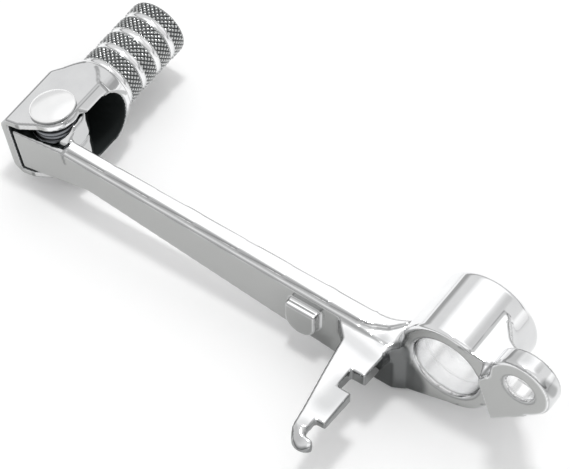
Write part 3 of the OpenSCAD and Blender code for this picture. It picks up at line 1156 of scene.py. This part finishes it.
@dataclass
class ReturnSpring:
    """The torsion spring in the toe head's pocket.

    Attributes:
        fold: Frame of the spring.
        wire: Radius of the wire.
        coil: Radius of the coil to the middle of the wire.
        low: Lowest turn.
        high: Highest turn.
        turns: Number of turns.
    """

    fold: FoldFrame = field(default_factory=FoldFrame)
    wire: float = 0.65 * MM
    coil: float = 6.05 * MM
    low: float = 2.35 * MM
    high: float = 7.05 * MM
    turns: float = 3.5

    def build(self) -> Piece:
        """Builds and dresses the spring."""
        shape = bmesh.new()
        ring = bmesh.ops.create_circle(shape, cap_ends=True, radius=self.wire, segments=14)
        place = Matrix.Translation((self.coil, 0, self.low)) @ Matrix.Rotation(math.pi / 2, 4, "X")
        bmesh.ops.transform(shape, matrix=place, verts=ring["verts"])
        steps = int(self.turns * 48)
        rise = (self.high - self.low) / steps
        bmesh.ops.spin(
            shape, geom=shape.verts[:] + shape.edges[:] + shape.faces[:], cent=(0, 0, 0),
            axis=(0, 0, 1), dvec=(0, 0, rise), angle=2 * math.pi * self.turns, steps=steps,
            use_merge=False, use_duplicate=False,
        )
        bmesh.ops.recalc_face_normals(shape, faces=shape.faces[:])
        bmesh.ops.transform(shape, matrix=self.fold.matrix(), verts=shape.verts[:])
        spring = MeshTools.to_object(shape, "return_spring_coil")
        dress(spring, [Finishes.wire], lambda centre, normal: Region.POLISHED)
        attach(spring, "pedal")
        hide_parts("return_spring")
        return spring


@dataclass(frozen=True)
class Card:
    """A round white card in the sky, which the polished metal mirrors.

    Attributes:
        toward: Direction in which the card hangs.
        core: Half of the angle over which it is evenly lit, in degrees.
        edge: Half of the angle at which it has faded out, in degrees.
        light: Its brightness.
    """

    toward: Triple
    core: float
    edge: float
    light: float

    def spread(self, tree: Tree, spot: Socket, outside: float, inside: float) -> Socket:
        """Adds a grey that fades from one value round the card to another over its core.

        Args:
            tree: Node tree to build in.
            spot: Socket with the direction in the sky.
            outside: Grey round the card.
            inside: Grey over its core.

        Returns:
            The grey.
        """
        aim = tree.nodes.new("ShaderNodeVectorMath")
        aim.operation = "DOT_PRODUCT"
        tree.links.new(spot, aim.inputs[0])
        aim.inputs[1].default_value = Vector(self.toward).normalized()
        near, far = math.cos(math.radians(self.core)), math.cos(math.radians(self.edge))
        return NodeKit.ramp(tree, aim.outputs["Value"], [(far, outside), (near, inside)])


@dataclass(frozen=True)
class Softbox:
    """A square softbox that looks at the pedal.

    Attributes:
        name: Name of the lamp.
        place: Where the lamp stands.
        size: Length of its side.
        power: Its power.
    """

    name: str
    place: Triple
    size: float
    power: float

    def build(self, target: Vector) -> None:
        """Adds the lamp.

        Args:
            target: Point at which it looks.
        """
        data = bpy.data.lights.new(self.name, "AREA")
        data.shape = "SQUARE"
        data.size = self.size
        data.energy = self.power
        lamp = bpy.data.objects.new(self.name, data)
        bpy.context.scene.collection.objects.link(lamp)
        place = Vector(self.place)
        turned = (target - place).to_track_quat("-Z", "Y").to_matrix().to_4x4()
        lamp.matrix_world = Matrix.Translation(place) @ turned


@dataclass
class Studio:
    """The plain pale studio: floor, light and camera.

    Attributes:
        floor_tone: Colour of the floor.
        sky: Strength of the sky.
        haze: Grey of the sky between the cards.
        cards: White cards in the sky.
        veil: Grey card in front of them, which draws a soft stripe on the hub.
        lamps: Softboxes that light the floor and the ground flats.
        target: Point at which the softboxes look.
        lens: Focal length of the camera.
        camera_place: Where the camera stands.
        right: Direction of the picture's right edge.
        forward: Direction in which the camera looks.
    """

    floor_tone: float = 0.93
    sky: float = 1.0
    haze: float = 0.76
    cards: tuple[Card, ...] = (
        Card((-0.1, 0.5, 0.86), 25.0, 51.0, 1.16),
        Card((0.87, 0.49, 0.12), 10.0, 24.0, 1.05),
    )
    veil: Card = Card((0.36, 0.51, 0.78), 2.0, 11.0, 0.62)
    lamps: tuple[Softbox, ...] = (
        Softbox("key", (-0.16, 0.1, 1.05), 0.16, 3.6),
        Softbox("fill", (0.5, -0.7, 0.7), 0.9, 0.6),
    )
    target: Triple = (-0.05, -0.01, 0.0)
    lens: float = 252.63
    camera_place: Triple = (0.31510, -0.53603, 0.87327)
    right: Triple = (0.8192, 0.5735, 0.0)
    forward: Triple = (-0.3441, 0.4915, -0.8)

    def floor(self, height: float) -> Piece:
        """Builds the floor.

        Args:
            height: Level of the floor.

        Returns:
            The floor, marked as stage.
        """
        shape = bmesh.new()
        bmesh.ops.create_grid(shape, x_segments=2, y_segments=2, size=6.0)
        bmesh.ops.translate(shape, verts=shape.verts[:], vec=(0, 0, height))
        floor = MeshTools.to_object(shape, "floor")
        made = bpy.data.materials.new("floor_paper")
        made.use_nodes = True
        tree = made.node_tree
        shader = tree.nodes["Principled BSDF"]
        shader.inputs["Roughness"].default_value = 0.9
        spot = tree.nodes.new("ShaderNodeTexCoord").outputs["Object"]
        grain = NodeKit.noise(tree, spot, 900.0, 3.0)
        tone = NodeKit.mix(tree, "RGBA", grain, (self.floor_tone,) * 3, (self.floor_tone + 0.01,) * 3)
        tree.links.new(tone, shader.inputs["Base Color"])
        floor.data.materials.append(made)
        floor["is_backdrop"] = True
        return floor

    def world(self) -> None:
        """Lights the scene from a pale sky with white cards that the metal mirrors."""
        world = bpy.data.worlds.new("studio")
        bpy.context.scene.world = world
        world.use_nodes = True
        tree = world.node_tree
        ground = tree.nodes["Background"]
        ground.inputs["Strength"].default_value = self.sky
        spot = tree.nodes.new("ShaderNodeTexCoord").outputs["Generated"]
        split = tree.nodes.new("ShaderNodeSeparateXYZ")
        tree.links.new(spot, split.inputs["Vector"])
        belt = [(0.07, 1.0), (0.10, 0.38), (0.22, 0.38), (0.34, self.haze), (1.0, self.haze)]
        sky = NodeKit.ramp(tree, split.outputs["Z"], belt)
        for card in self.cards:
            glow = NodeKit.math(tree, "MULTIPLY", card.spread(tree, spot, 0.0, 1.0), card.light)
            sky = NodeKit.math(tree, "MAXIMUM", sky, glow)
        dim = self.veil.spread(tree, spot, 1.0, self.veil.light)
        tree.links.new(NodeKit.math(tree, "MULTIPLY", sky, dim), ground.inputs["Color"])

    def camera(self) -> None:
        """Adds the camera at the photograph's viewing angle."""
        data = bpy.data.cameras.new("camera")
        data.lens = self.lens
        data.sensor_width = 36.0
        data.clip_start = 0.05
        data.clip_end = 30.0
        camera = bpy.data.objects.new("camera", data)
        bpy.context.scene.collection.objects.link(camera)
        forward = Vector(self.forward).normalized()
        right = Vector(self.right).normalized()
        up = right.cross(forward).normalized()
        axes = Matrix((right, up, -forward)).transposed().to_4x4()
        camera.matrix_world = Matrix.Translation(Vector(self.camera_place)) @ axes
        bpy.context.scene.camera = camera

    def build(self, height: float) -> None:
        """Sets up floor, sky, softboxes and camera.

        Args:
            height: Level of the floor.
        """
        self.floor(height)
        self.world()
        for lamp in self.lamps:
            lamp.build(Vector(self.target))
        self.camera()
        bpy.context.scene.view_settings.view_transform = "Standard"


def box_numbers(bounds: tuple[Vector, Vector]) -> list[list[float]]:
    """Returns a box as plain lists of numbers.

    Args:
        bounds: Lowest and highest corner.
    """
    return [[float(value) for value in corner] for corner in bounds]


def main() -> None:
    """Builds the pedal's looks and reports each piece."""
    logging.basicConfig(level=logging.INFO, format="%(name)s: %(message)s")
    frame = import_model()
    solid_box = box_numbers(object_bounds())
    pieces = [
        Casting().build(frame), ToeBody().build(frame), KnurledPeg().build(), Rivet().build(),
        ReturnSpring().build(),
    ]
    Studio().build(solid_box[0][2] - FLOOR_GAP)
    for piece in pieces:
        LOG.info("%s: %d faces", piece.name, len(piece.data.polygons))
    bpy.context.view_layer.update()


if __name__ == "__main__":
    main()
